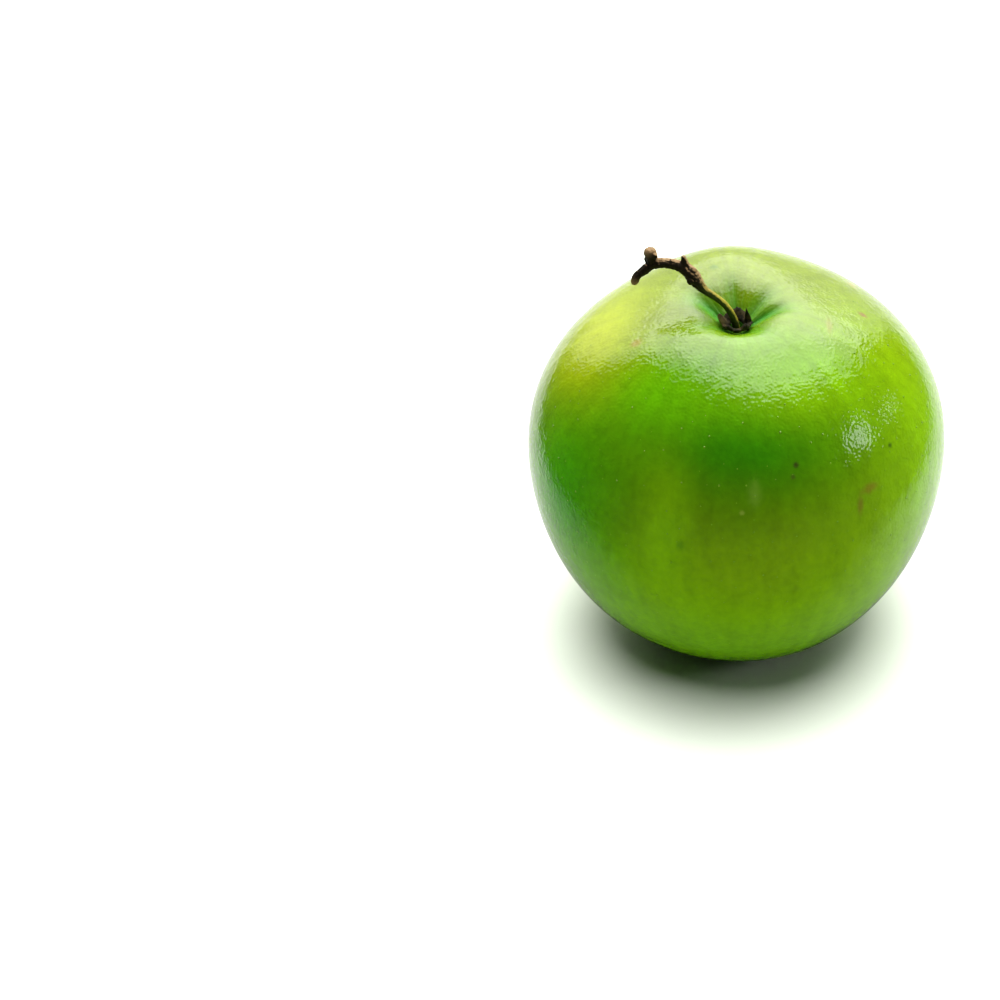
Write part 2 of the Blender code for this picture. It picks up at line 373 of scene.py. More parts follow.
def skin_tree(material):
    tree, _, size = new_tree("jujube skin", skin_sizes)
    sheet = add_node(
        tree, "GeometryNodeMeshGrid", Size_X=1.0, Size_Y=1.0,
        Vertices_X=size["Columns"] + 1, Vertices_Y=size["Rows"] + 3,
    )
    across, along, _ = axes(tree, tree.nodes.new("GeometryNodeInputPosition").outputs[0])

    # The column gives the turn round the stem, and the row gives the slope of the skin
    turn = (across + 0.5) * math.tau
    row = (along + 0.5) * (size["Rows"] + 2)
    top_slope = (size["Socket Radius"] / (size["Width"] / 2)).arc_cosine()
    slope = row.at_most(size["Rows"]) / size["Rows"] * (top_slope + math.pi / 2) - math.pi / 2
    is_low = (-slope).above(0.0)
    x, y, radius, slope = floor_place(size, turn, slope, is_low)
    height = node_height(size, turn, radius, slope, is_low)

    # The socket: one row straight down, and one that closes its floor at a single point
    in_socket = (row - size["Rows"]).at_least(0.0)
    closing = 1.0 - (in_socket - 1.0).at_least(0.0)
    height = (height - in_socket.at_most(1.0) * size["Socket Depth"]) * closing
    height = height + (1.0 - closing) * (skin_height(SOCKET_RADIUS, 0.0) - SOCKET_DEPTH)
    point = add_node(
        tree, "ShaderNodeCombineXYZ",
        X=x * closing + size["Shift X"], Y=y * closing + size["Shift Y"], Z=height,
    )
    wrapped = add_node(tree, "GeometryNodeSetPosition",
                       Geometry=sheet.outputs["Mesh"], Position=point.outputs[0])
    closed = add_node(tree, "GeometryNodeMergeByDistance",
                      Geometry=wrapped.outputs[0], Distance=WELD_DISTANCE)
    end_tree(tree, closed.outputs[0], material)
    print(tree.name, "has", len(tree.nodes), "nodes")
    return tree


# %% Which way the faces look
def point_outwards(piece):
    """Turns every face of a closed piece outwards."""
    work = bmesh.new()
    work.from_mesh(piece.data)
    bmesh.ops.recalc_face_normals(work, faces=work.faces)
    open_edges = sum(len(edge.link_faces) != 2 for edge in work.edges)
    volume = work.calc_volume(signed=True)
    work.to_mesh(piece.data)
    work.free()
    millilitres = volume / MM ** 3 / 1000
    print(piece.name, "has", open_edges, "open edges and holds", round(millilitres, 3), "ml")


# %% [markdown]
# ## Grow the skin and lay it on its CAD node
# The formula is centred on the stem, but the CAD model's origin is below the middle of its box.
# So the skin is grown once to measure its own box, and once more with the shift that lays it on
# the node.

# %% The skin itself
def middle_of(low, high):
    return (Vector(low) + Vector(high)) / 2


def box_of(piece):
    along_axes = list(zip(*(vertex.co for vertex in piece.data.vertices)))
    return [min(numbers) for numbers in along_axes], [max(numbers) for numbers in along_axes]


tree = skin_tree(skin)
trial = grow_mesh("trial_skin", tree, skin_sizes)
shift = middle_of(*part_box("fruit")) - middle_of(*box_of(trial))
bpy.data.objects.remove(trial)
skin_sizes["Shift X"], skin_sizes["Shift Y"] = shift.x, shift.y
fruit = grow_mesh("fruit_skin", tree, skin_sizes)
point_outwards(fruit)
STEM_PLACE = Vector((shift.x, shift.y, 0.0))
print("the stem stands at", [round(number / MM, 3) for number in STEM_PLACE], "mm")
print("skin box in mm:", in_mm(box_of(fruit)))
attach(fruit, "root")
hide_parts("fruit")

# %% [markdown]
# ## The dried calyx
# The flower's five sepals dried to a low brown collar round the foot of the stem. It is too
# crinkled for one rule and too small for sculpting, so it is built ring by ring in mesh code: a
# table gives each worn sepal its place and height, and noise crinkles the rest.

# %% The calyx's sizes
GAP = 0.5 * MM
CALYX_INNER_RADIUS = 1.05 * MM
CALYX_OUTER_RADIUS = 2.3 * MM
CALYX_THICKNESS = 0.42 * MM
CALYX_COLUMNS = 180
RAGGEDNESS = 0.22 * MM  # how deep the collar's edge is torn
TEARS = 5.0  # cells of noise across a circle of radius 1
CRINKLE_DEPTH = 0.13 * MM
CRINKLES = 2.2  # cells of noise per mm
SHRINKING = 0.05  # share of the radius that a crinkle takes
# Sepals as (where it points in degrees, height, half-width in degrees, reach outwards)
SEPALS = (
    (20.0, 2.25 * MM, 15.0, -0.60 * MM),
    (88.0, 0.55 * MM, 24.0, 0.10 * MM),
    (172.0, 0.75 * MM, 26.0, 0.45 * MM),
    (238.0, 0.45 * MM, 22.0, 0.05 * MM),
    (306.0, 0.80 * MM, 20.0, 0.20 * MM),
)


# %% How far the sepals stand up and out
def sepal_rise(degrees_round):
    """(height, reach) that the sepals add to the collar at a turn round the stem."""
    height = reach = 0.0
    for points_to, rise, half_width, out in SEPALS:
        away = abs((degrees_round - points_to + 180.0) % 360.0 - 180.0)
        share = max(0.0, 1.0 - away / half_width)
        height += rise * share ** 0.8  # a little rounder than a triangle
        reach += out * share
    return height, reach


print("the collar has", len(SEPALS), "sepals")

# %% Build the calyx
# The collar's section: shares of the way out, of its thickness and of the sepal's rise
SECTION = (
    (0.00, 0.0, 0.0), (0.33, 0.0, 0.0), (0.66, 0.0, 0.0), (0.93, 0.05, 0.0), (1.00, 0.25, 0.15),
    (0.99, 0.60, 0.55), (0.90, 0.85, 0.85), (0.76, 1.00, 1.00), (0.60, 1.05, 0.95),
    (0.44, 1.00, 0.60), (0.28, 0.98, 0.25), (0.12, 0.95, 0.05), (0.02, 0.70, 0.0), (0.0, 0.35, 0.0),
)


def calyx_ring(turn):
    """The collar's section at a turn round the stem, as points round the stem."""
    height, reach = sepal_rise(math.degrees(turn))
    ragged = noise.noise(Vector((math.cos(turn), math.sin(turn), 3.0)) * TEARS)
    outer = CALYX_OUTER_RADIUS + reach - abs(ragged) * RAGGEDNESS
    ring = []
    for out, thick, lifted in SECTION:
        radius = CALYX_INNER_RADIUS + (outer - CALYX_INNER_RADIUS) * out
        z = skin_height(radius, turn) + GAP + CALYX_THICKNESS * thick + height * lifted
        spot = Vector((radius * math.cos(turn), radius * math.sin(turn), z))
        crinkle = noise.noise(spot / MM * CRINKLES)
        is_upper = 1.0 if thick > 0.2 else 0.0
        radius *= 1.0 - SHRINKING * max(0.0, crinkle) * is_upper
        z -= abs(crinkle) * CRINKLE_DEPTH * min(1.0, thick)
        ring.append(Vector((radius * math.cos(turn), radius * math.sin(turn), z)))
    return ring


def make_calyx(material):
    work = bmesh.new()
    turns = [math.tau * column / CALYX_COLUMNS for column in range(CALYX_COLUMNS)]
    rings = [[work.verts.new(point + STEM_PLACE) for point in calyx_ring(turn)] for turn in turns]
    for here, there in zip(rings, rings[1:] + rings[:1]):
        for corner in range(len(here)):
            after = (corner + 1) % len(here)
            work.faces.new((here[corner], there[corner], there[after], here[after]))
    mesh = bpy.data.meshes.new("dried_calyx")
    work.to_mesh(mesh)
    work.free()
    mesh.shade_smooth()
    mesh.materials.append(material)
    made = add_object("dried_calyx", mesh)
    point_outwards(made)
    return made


dried = new_material("dried_calyx")
calyx = make_calyx(dried)
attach(calyx, "root")
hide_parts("calyx")

# %% [markdown]
# ## The stem
# A jujube hangs on a short branched stalk: a thin green foot, a swollen knot where it once met
# the twig, a level limb, and at its end an upright stub and a drooping tip. Each limb is a curve
# with a radius at every point. A voxel remesh melts them together as wood grows, and then the
# bark's ridges are pushed out of the surface.

# %% The stem's limbs as (x, y, z, radius) in mm, from root to tip
MAIN_LIMB = (
    (0.0, 0.0, 51.45, 0.54), (-0.05, 0.0, 52.9, 0.54), (-0.42, 0.05, 54.4, 0.51),
    (-1.0, 0.2, 55.6, 0.49), (-1.75, 0.5, 56.5, 0.48), (-3.05, 0.9, 57.45, 0.50),
    (-4.4, 1.4, 58.2, 0.58), (-5.4, 1.8, 59.2, 0.88), (-6.2, 2.1, 60.3, 1.02),
    (-7.1, 2.4, 61.1, 0.90), (-8.2, 2.7, 61.5, 0.76), (-9.9, 3.1, 61.6, 0.72),
    (-11.4, 3.35, 61.4, 0.76), (-12.2, 3.45, 61.0, 0.62),
)
UPRIGHT_STUB = (
    (-11.5, 3.4, 61.4, 0.68), (-11.75, 3.45, 62.1, 0.80), (-11.95, 3.55, 62.9, 0.88),
    (-12.05, 3.6, 63.4, 0.84), (-12.1, 3.6, 63.7, 0.52),
)
DROOPING_TIP = (
    (-11.6, 3.4, 61.3, 0.66), (-12.7, 3.3, 60.5, 0.70), (-13.5, 3.1, 59.9, 0.58),
    (-14.0, 2.95, 59.4, 0.60), (-14.2, 2.85, 58.8, 0.58), (-14.25, 2.8, 58.35, 0.36),
)
SIDE_BUD = ((-7.0, 2.4, 61.4, 0.68), (-7.2, 2.45, 62.2, 0.50), (-7.4, 2.5, 63.1, 0.30))
# Swollen scars where other fruit dropped off, as (x, y, z, radius) in mm
SCARS = (
    (-6.1, 2.0, 61.0, 0.62), (-8.9, 2.8, 61.9, 0.52), (-6.3, 1.4, 59.8, 0.60),
    (-12.3, 4.0, 61.7, 0.58), (-11.4, 2.95, 62.9, 0.46),
)
LIMBS = {"main": MAIN_LIMB, "stub": UPRIGHT_STUB, "tip": DROOPING_TIP, "bud": SIDE_BUD}
VOXEL = 0.09 * MM
print("the stem has", len(LIMBS), "limbs and", len(SCARS), "scars")


# %% A limb, and the points of its middle line
def at_stem(x, y, z):
    """A place given in mm from the foot of the stem."""
    return Vector((x, y, z)) * MM + STEM_PLACE


def limb_mesh(name, line):
    """A tapering round limb through a line of points, closed at both ends, as a mesh."""
    curve = bpy.data.curves.new(name, "CURVE")
    curve.dimensions = "3D"
    curve.bevel_depth = MM
    curve.bevel_resolution = 6
    curve.use_fill_caps = True
    curve.resolution_u = 10
    spline = curve.splines.new("BEZIER")
    spline.bezier_points.add(len(line) - 1)
    for point, (x, y, z, radius) in zip(spline.bezier_points, line):
        point.co = at_stem(x, y, z)
        point.radius = radius
        point.handle_left_type = point.handle_right_type = "AUTO"
    return bake(add_object(name, curve))


def middle_line(line, steps=8):
    """Points along a limb's line, in metres, each with its way along in mm and its direction."""
    corners = [at_stem(*point[:3]) for point in line]
    found, walked = [], 0.0
    for here, there in zip(corners, corners[1:]):
        for step in range(steps):
            share = step / steps
            found.append((here.lerp(there, share), walked + share * (there - here).length / MM,
                          (there - here).normalized()))
        walked += (there - here).length / MM
    return found


# %% Join the limbs and melt them together
def make_stem(material):
    work = bmesh.new()
    for name, line in LIMBS.items():
        mesh = limb_mesh(name, line)
        work.from_mesh(mesh)
        bpy.data.meshes.remove(mesh)
    for x, y, z, radius in SCARS:
        place = Matrix.Translation(at_stem(x, y, z))
        bmesh.ops.create_icosphere(work, subdivisions=3, radius=radius * MM, matrix=place)
    mesh = bpy.data.meshes.new("rough_stem")
    work.to_mesh(mesh)
    work.free()
    rough = add_object("rough_stem", mesh)
    melt = rough.modifiers.new("melt", "REMESH")
    melt.mode, melt.voxel_size, melt.use_smooth_shade = "VOXEL", VOXEL, True
    ease = rough.modifiers.new("ease", "SMOOTH")
    ease.factor, ease.iterations = 0.5, 5
    grown = bake(rough)
    grown.name = "woody_stem"
    grown.materials.clear()
    grown.materials.append(material)
    return add_object("woody_stem", grown)


bark = new_material("stem_bark")
stem = make_stem(bark)
print("the melted stem has", len(stem.data.vertices), "points")

# %% Stations along the limbs, as (place, way along in mm, direction)
SIDE_LIMB_START = 20.0  # mm: every side limb is as woody as the main limb's end
STATIONS = [
    (place, walked if name == "main" else SIDE_LIMB_START + walked, heading)
    for name, line in LIMBS.items() for place, walked, heading in middle_line(line)
]
print("the limbs have", len(STATIONS), "stations")

# %% Push the bark's ridges out, and note how far along the stem each point is
RIDGE_HEIGHT = 0.055 * MM
RIDGES_ROUND = 3.4  # cells of noise across a limb, in limb radii
RIDGES_ALONG = 0.55  # cells of noise per mm of limb: few, so the ridges are long
PITS = 3.1  # cells of noise per mm
SMOOTH_PART = 5.0  # mm of green stalk before the bark begins
BARK_FADE = 6.0  # mm over which the bark comes on
# Shares of the ridges and of the pits on the green stalk, and what full bark adds to them
RIDGE_SHARE, PIT_SHARE, RIDGE_GROWTH, PIT_GROWTH = 0.35, 0.2, 0.9, 0.8


def rough_bark(piece):
    tree = kdtree.KDTree(len(STATIONS))
    for number, (place, _, _) in enumerate(STATIONS):
        tree.insert(place, number)
    tree.balance()
    along = piece.data.attributes.new("along", "FLOAT", "POINT")
    normals = [vertex.normal.copy() for vertex in piece.data.vertices]
    for vertex, normal in zip(piece.data.vertices, normals):
        _, number, _ = tree.find(vertex.co)
        place, walked, heading = STATIONS[number]
        out = vertex.co - place
        out -= heading * out.dot(heading)
        out = out.normalized() if out.length > 1e-7 else normal
        ridges = noise.noise(out * RIDGES_ROUND + heading * walked * RIDGES_ALONG)
        pits = noise.noise(vertex.co / MM * PITS)
        woody = min(1.0, max(0.0, (walked - SMOOTH_PART) / BARK_FADE))
        relief = ridges * (RIDGE_SHARE + RIDGE_GROWTH * woody)
        relief += pits * (PIT_SHARE + PIT_GROWTH * woody)
        vertex.co += normal * RIDGE_HEIGHT * relief
        along.data[vertex.index].value = walked
    piece.data.update()


rough_bark(stem)
point_outwards(stem)
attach(stem, "root")
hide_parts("stem")

# %% [markdown]
# ## Shader groups
# Skin, bark and calyx share two effects. One is mottling, which is noise of a chosen cell size
# around zero. The other is a soft patch with a wavy edge at a chosen place, for blushes, scars
# and scuffs. Each is a node group, built once and placed wherever it is needed with its own
# numbers. They read the piece's own coordinates in millimetres, so a pattern stays on its piece.

# %% Small helpers for shader trees
def new_group(name, inputs, outputs):
    """A shader node group. Inputs are {name: value}, where None stands for a linked vector."""
    tree = bpy.data.node_groups.new(name, "ShaderNodeTree")
    for label, value in inputs.items():
        kind = "NodeSocketFloat" if isinstance(value, float) else "NodeSocketVector"
        socket = tree.interface.new_socket(label, in_out="INPUT", socket_type=kind)
        if value is not None:
            socket.default_value = value
    for label in outputs:
        tree.interface.new_socket(label, in_out="OUTPUT", socket_type="NodeSocketFloat")
    start, end = tree.nodes.new("NodeGroupInput"), tree.nodes.new("NodeGroupOutput")
    return tree, start.outputs, end.inputs


def noise_node(tree, vector, scale, detail=2.0, roughness=0.5):
    node = add_node(tree, "ShaderNodeTexNoise",
                    Vector=vector, Scale=scale, Detail=detail, Roughness=roughness)
    return Number(tree, node.outputs["Fac"])


# %% Mottling
def make_mottle():
    tree, given, out = new_group("mottle", {"Point": None, "Cell": 2.0, "Detail": 2.0}, ["Value"])
    frequency = 1.0 / Number(tree, given["Cell"])
    cells = noise_node(tree, given["Point"], frequency, Number(tree, given["Detail"]))
    link(tree, (cells - 0.5) * 2.0, out["Value"])
    return tree


MOTTLE = make_mottle()


# %% A soft patch
def vector_sum(tree, operation, *sources):
    """A Vector Math node with its inputs linked."""
    node = tree.nodes.new("ShaderNodeVectorMath")
    node.operation = operation
    for place, source in enumerate(sources):
        link(tree, source, node.inputs[place])
    return node


ROUND = (1.0, 1.0, 1.0)


def make_patch():
    """Mask: 1 in the middle of the patch, 0 well outside. A higher Edge makes it steeper there."""
    inputs = {"Point": None, "Centre": (0.0, 0.0, 0.0), "Reach": 5.0, "Edge": 2.0, "Wave": 0.2,
              "Stretch": ROUND}
    tree, given, out = new_group("soft patch", inputs, ["Mask"])
    away = vector_sum(tree, "SUBTRACT", given["Point"], given["Centre"])
    squeezed = vector_sum(tree, "DIVIDE", away.outputs[0], given["Stretch"])
    length = vector_sum(tree, "LENGTH", squeezed.outputs[0])
    reach, wave = Number(tree, given["Reach"]), Number(tree, given["Wave"])
    wobble = (noise_node(tree, given["Point"], 1.6 / reach, 2.0) - 0.5) * wave * 2.0
    share = (Number(tree, length.outputs["Value"]) / reach + wobble).at_least(0.0)
    link(tree, (-(share ** Number(tree, given["Edge"]))).exponent(), out["Mask"])
    return tree


PATCH = make_patch()


# %% A paint box for one material
class PaintBox:
    """A material's tree, with the piece's own coordinates in mm and short names for its groups."""

    def __init__(self, material):
        self.tree = material.node_tree
        self.shader = self.tree.nodes["Principled BSDF"]
        coordinates = self.tree.nodes.new("ShaderNodeTexCoord")
        self.up = coordinates.outputs["Normal"]
        self.point = self.scale(coordinates.outputs["Object"], 1.0 / MM)

    def group(self, group, output, **values):
        node = self.tree.nodes.new("ShaderNodeGroup")
        node.node_tree = group
        link(self.tree, self.point, node.inputs["Point"])
        for label, value in values.items():
            link(self.tree, value, node.inputs[label.title()])
        return Number(self.tree, node.outputs[output])

    def mottle(self, cell, detail=2.0):
        return self.group(MOTTLE, "Value", cell=cell, detail=detail)

    def patch(self, centre, reach, edge=2.0, wave=0.2, stretch=ROUND):
        return self.group(PATCH, "Mask", centre=centre, reach=reach, edge=edge, wave=wave,
                          stretch=stretch)

    def mix(self, mask, under, over):
        """The colour over, laid on the colour under where the mask says."""
        node = self.tree.nodes.new("ShaderNodeMix")
        node.data_type, node.clamp_factor = "RGBA", True
        link(self.tree, mask, node.inputs["Factor"])
        for place, colour in ((6, under), (7, over)):
            colour = (*colour, 1.0) if isinstance(colour, tuple) else colour
            link(self.tree, colour, node.inputs[place])
        return node.outputs[2]

    def scale(self, vector, amount):
        """A colour or a place times a number."""
        node = vector_sum(self.tree, "SCALE", vector)
        link(self.tree, amount, node.inputs["Scale"])
        return node.outputs[0]

    def bump(self, height, depth):
        """A Bump node for a height of about -1 to 1, whose relief is depth metres."""
        node = add_node(self.tree, "ShaderNodeBump", Strength=1.0, Distance=depth, Height=height)
        self.set(Normal=node.outputs[0])

    def set(self, **values):
        set_inputs(self.tree, self.shader, **values)


print("groups:", [group.name for group in bpy.data.node_groups])

# %% [markdown]
# ## The skin's finish
# The skin is waxy and clear over green flesh. It is yellow-green round the stem, yellow on the
# left shoulder that had the sun, deep green on the flank in front, and olive below. Each zone is
# a soft patch at its own place. Mottling and faint streaks from pole to pole break them up. Low
# relief like orange peel tears the edges of the reflections, as real skin does.

# %% Zones of the skin: (colour, centre in mm, reach in mm, stretch)
CROWN_GREEN = (0.240, 0.325, 0.003)
ZONES = {
    "olive foot": ((0.175, 0.465, 0.002), (0.0, -14.0, 8.0), 30.0, (1.2, 1.0, 1.0)),
    "right flank": ((0.300, 0.590, 0.003), (27.0, -12.0, 35.0), 15.0, (1.0, 1.0, 1.4)),
    "deep flank": ((0.026, 0.260, 0.001), (1.5, -22.7, 47.5), 12.4, (1.6, 1.0, 0.80)),
    "upper flank": ((0.165, 0.580, 0.001), (-12.0, -18.0, 50.9), 6.2, (1.6, 1.0, 0.7)),
    "front shoulder": ((0.260, 0.560, 0.002), (9.0, -15.6, 51.8), 7.6, (1.6, 1.0, 0.7)),
    "left flank": ((0.070, 0.400, 0.001), (-23.0, -17.0, 36.5), 12.3, (1.0, 1.0, 1.3)),
    "olive streak": ((0.250, 0.540, 0.002), (-9.8, -27.0, 36.5), 5.0, (0.7, 1.0, 2.0)),
    "sunny shoulder": ((0.480, 0.570, 0.006), (-19.5, -1.0, 50.5), 8.5, (1.0, 1.3, 0.9)),
}
# Painted shade: this darker green lies in the cavity, its creases and the streaks in it
CAVITY_SHADE_GREEN = (0.060, 0.330, 0.003)

# %% Marks of the skin: (colour, centre in mm, reach in mm, strength, stretch)
MARKS = {
    "dark spot": ((0.050, 0.035, 0.012), (8.20, -24.64, 44.32), 0.42, 0.80, ROUND),
    "faint spot": ((0.070, 0.060, 0.015), (7.80, -25.63, 43.03), 0.34, 0.60, ROUND),
    "green spot": ((0.050, 0.110, 0.010), (21.23, -17.11, 42.16), 0.36, 0.70, ROUND),
    "scar head": ((0.260, 0.190, 0.020), (18.40, -22.25, 38.64), 1.20, 0.65, (1.3, 1.0, 0.6)),
    "scar foot": ((0.230, 0.170, 0.020), (17.10, -23.88, 37.01), 0.95, 0.65, (0.45, 1.0, 1.6)),
    "crown spot": ((0.300, 0.150, 0.040), (17.94, 1.35, 51.41), 0.60, 0.80, (1.2, 1.0, 1.0)),
    "left spot": ((0.380, 0.270, 0.008), (-13.77, -7.92, 53.04), 0.75, 0.75, (1.4, 1.0, 0.8)),
    "back spot": ((0.400, 0.330, 0.040), (16.75, 11.25, 50.05), 0.85, 0.60, (1.0, 1.4, 1.0)),
    "scratch": ((0.350, 0.260, 0.060), (12.99, -5.19, 54.03), 1.20, 0.45, (0.40, 1.6, 1.0)),
    "low smudge": ((0.050, 0.160, 0.008), (-7.55, -28.58, 33.59), 0.60, 0.35, (1.0, 1.0, 1.3)),
    "rim smudge": ((0.110, 0.240, 0.015), (-3.03, 5.15, 57.14), 0.60, 0.60, ROUND),
    # A scratch, painted pale where it catches the light: a painted highlight
    "scratch glint": ((0.240, 0.440, 0.040), (2.60, -27.36, 41.54), 1.50, 0.50, (0.6, 1.0, 1.3)),
    "pale spot": ((0.330, 0.480, 0.060), (0.92, -28.49, 39.07), 0.35, 0.75, ROUND),
}


# %% Streaks, shade and relief of the skin
STREAK_CELLS = 9.0  # cells of noise across a circle of radius 1 round the stem
STREAK_DRIFT = 0.012  # how much of that a mm of height counts
# How strong and how wide the painted shade is in the creases, in the cavity and of the streaks in
# it
CREASE_SHADE, CAVITY_SHADE, STREAK_SHADE = 0.85, 0.75, 0.50
CREASE_SPREAD, CAVITY_SHADE_SPREAD, STREAK_SPREAD = 3.6, 4.0, 6.0  # mm
CREASE_MIDDLE = 4.0  # mm from the stem
DEEPEST_CREASE = max(deep for _, deep, _ in CREASES)
SHADE_ABOVE = 45.0  # mm: the dimple below stays out of the shade
# Cell sizes in mm of the mottling, and its strength and that of the streaks in the colour
BROAD_CELL, BROAD_TONE, FINE_CELL, FINE_TONE, STREAK_TONE = 6.0, 0.10, 1.3, 0.18, 0.26
# Heights in mm of the orange peel, by cell size in mm, and of the streaks and the cavity
PEEL = ((1.4, 0.026), (0.42, 0.023))
STREAK_HEIGHT, SHADE_HEIGHT = 0.02, -0.4
# Roughness of the wax, how much it varies, and what the cavity adds
SMOOTHEST, WAX_CHANGE, DULLEST = 0.08, 0.03, 0.45
# Light goes some way into the flesh, and blue light hardly does
FLESH = {
    "Subsurface_Weight": 0.22, "Subsurface_Scale": 2.5 * MM, "Subsurface_Radius": (1.0, 1.0, 0.25),
}
print("the skin has", len(ZONES), "zones and", len(MARKS), "marks")


# %% Paint the skin
def streaks_and_shade(box):
    """Noise that changes with the turn round the stem, hardly along it, and the painted shade of
    the cavity.
    """
    tree = box.tree
    x, y, z = axes(tree, box.point)
    x, y = x - STEM_PLACE.x / MM, y - STEM_PLACE.y / MM
    radius = (x * x + y * y).root().at_least(0.5)
    round_it = add_node(tree, "ShaderNodeCombineXYZ",
                        X=x / radius, Y=y / radius, Z=z * STREAK_DRIFT)
    cells = noise_node(tree, round_it.outputs[0], STREAK_CELLS, detail=4.0, roughness=0.6)
    streaks = (cells - 0.5) * 2.0
    creased = crease(y.sum("ARCTAN2", x)) / DEEPEST_CREASE
    creased = creased * bell(radius - CREASE_MIDDLE, CREASE_SPREAD)
    shaded = creased * CREASE_SHADE + bell(radius, CAVITY_SHADE_SPREAD) * CAVITY_SHADE
    shaded = shaded + streaks * STREAK_SHADE * bell(radius, STREAK_SPREAD)
    shaded = shaded * z.above(SHADE_ABOVE)
    return streaks, shaded


def paint_skin(material):
    box = PaintBox(material)
    colour = CROWN_GREEN
    for shade, centre, reach, stretch in ZONES.values():
        colour = box.mix(box.patch(centre, reach, wave=0.12, stretch=stretch), colour, shade)
    streaks, shaded = streaks_and_shade(box)
    # The cavity's painted shade
    colour = box.mix(shaded, colour, CAVITY_SHADE_GREEN)
    tone = 1.0 + box.mottle(BROAD_CELL) * BROAD_TONE + box.mottle(FINE_CELL, 3.0) * FINE_TONE
    colour = box.scale(colour, tone + streaks * STREAK_TONE)
    for shade, centre, reach, strength, stretch in MARKS.values():
        mask = box.patch(centre, reach, edge=3.0, wave=0.45, stretch=stretch) * strength
        colour = box.mix(mask, colour, shade)

    relief = shaded * SHADE_HEIGHT + streaks * STREAK_HEIGHT
    for cell, height in PEEL:
        relief = relief + box.mottle(cell, 0.0) * height
    box.bump(relief, MM)
    roughness = box.mottle(4.0) * WAX_CHANGE + SMOOTHEST + shaded.clamped() * DULLEST
    box.set(Base_Color=colour, Roughness=roughness, IOR=1.50)
    box.set(**FLESH)
    print(material.name, "has", len(box.tree.nodes), "nodes")


paint_skin(skin)

# %% [markdown]
# ## The finish of the stem and the calyx
# The stem is green and smooth where it leaves the fruit, and turns to dark brown bark past the
# knot. Its side facing up and to the right gets a painted highlight, pinkish tan on the bark and
# yellow on the green stalk, and its tips are a pale tan. The colours follow how far along the
# stem each point is, which the mesh carries. The calyx is the same tissue, but darker.

# %% Paint the bark
GREEN_STALK = (0.045, 0.070, 0.006)
DARK_BARK = (0.016, 0.010, 0.004)
# Painted highlight colours: pale tan on the bark, also used for the worn tips, and yellow on the
# green stalk
PALE_BARK = (0.380, 0.240, 0.110)
LIT_STALK_YELLOW = (0.450, 0.400, 0.040)
LIT_SIDE = (0.8, 0.0, 1.3)  # the painted highlight faces up and to the right, where the light came from
HIGHLIGHT_LEVEL, HIGHLIGHT_STRENGTH, TIP_STRENGTH = 0.80, 2.2, 0.75
STALK_END, STALK_FADE = 7.0, 4.0  # mm along the stem
BARK_ROUGHNESS, BARK_GLOSS, BARK_DEPTH = 0.62, 0.15, 0.05 * MM
WORN_TIPS = ((-12.0, -0.3, 63.5), (-14.2, -1.1, 58.6))


def paint_bark(material):
    box = PaintBox(material)
    tree = box.tree
    along = tree.nodes.new("ShaderNodeAttribute")
    along.attribute_name = "along"
    walked = Number(tree, along.outputs["Fac"])
    facing_light = vector_sum(tree, "DOT_PRODUCT", box.up, LIT_SIDE).outputs["Value"]
    # Painted highlight: the side facing up and to the right turns pale, where the light fell
    upper = (Number(tree, facing_light) + box.mottle(0.8, 3.0) * 0.7 - HIGHLIGHT_LEVEL).clamped()
    woody = ((walked - STALK_END) / STALK_FADE + box.mottle(1.5) * 0.3).clamped()
    under = box.mix(woody, GREEN_STALK, DARK_BARK)
    highlight_colour = box.mix(woody, LIT_STALK_YELLOW, PALE_BARK)
    colour = box.mix(upper * HIGHLIGHT_STRENGTH, under, highlight_colour)
    colour = box.scale(colour, 1.0 + box.mottle(0.35, 3.0) * 0.45)
    for tip in WORN_TIPS:
        colour = box.mix(box.patch(tip, 0.9, edge=3.0) * TIP_STRENGTH, colour, PALE_BARK)
    box.bump(box.mottle(0.30, 4.0), BARK_DEPTH)
    roughness = BARK_ROUGHNESS + box.mottle(0.6) * 0.12
    box.set(Base_Color=colour, Roughness=roughness, Specular_IOR_Level=BARK_GLOSS)
    print(material.name, "has", len(tree.nodes), "nodes")


# %% Paint the calyx
CALYX_DARK, CALYX_BROWN = (0.018, 0.016, 0.008), (0.110, 0.085, 0.030)
TORN_EDGE, TORN_TAN = (-2.6, -3.9, 54.0), (0.260, 0.190, 0.070)  # place in mm, and colour
CALYX_ROUGHNESS, CALYX_GLOSS, CALYX_DEPTH = 0.75, 0.12, 0.06 * MM


def paint_calyx(material):
    box = PaintBox(material)
    browner = ((box.mottle(0.9, 3.0) + 0.1) * 1.4).clamped()
    colour = box.mix(browner, CALYX_DARK, CALYX_BROWN)
    colour = box.mix(box.patch(TORN_EDGE, 1.2, edge=3.0) * 0.9, colour, TORN_TAN)
    box.bump(box.mottle(0.35, 4.0), CALYX_DEPTH)
    roughness = CALYX_ROUGHNESS + box.mottle(0.5) * 0.10
    box.set(Base_Color=colour, Roughness=roughness, Specular_IOR_Level=CALYX_GLOSS)
    print(material.name, "has", len(box.tree.nodes), "nodes")


paint_bark(bark)
paint_calyx(dried)

# %% [markdown]
# ## The lenticels
# Jujube skin is sprinkled with hundreds of small pale pores. Geometry Nodes scatter them: points
# are spread over the skin with a least distance, and each gets a low dome that is turned to the
# skin and sized at random from a fixed seed.

# %% The lenticels' tree
lenticel_sizes = {
    "Density": 150000.0,  # points per square metre before the gap thins them
    "Least Gap": 1.6 * MM,
    "Smallest": 0.5,
    "Largest": 1.5,
    "Dome Radius": 0.12 * MM,
    "Sparse Above": 54.0 * MM,  # hardly any on the crown
    "Seed": 7,
}
FADE_HEIGHT = 6.0 * MM
DOME_FLATNESS = 0.025


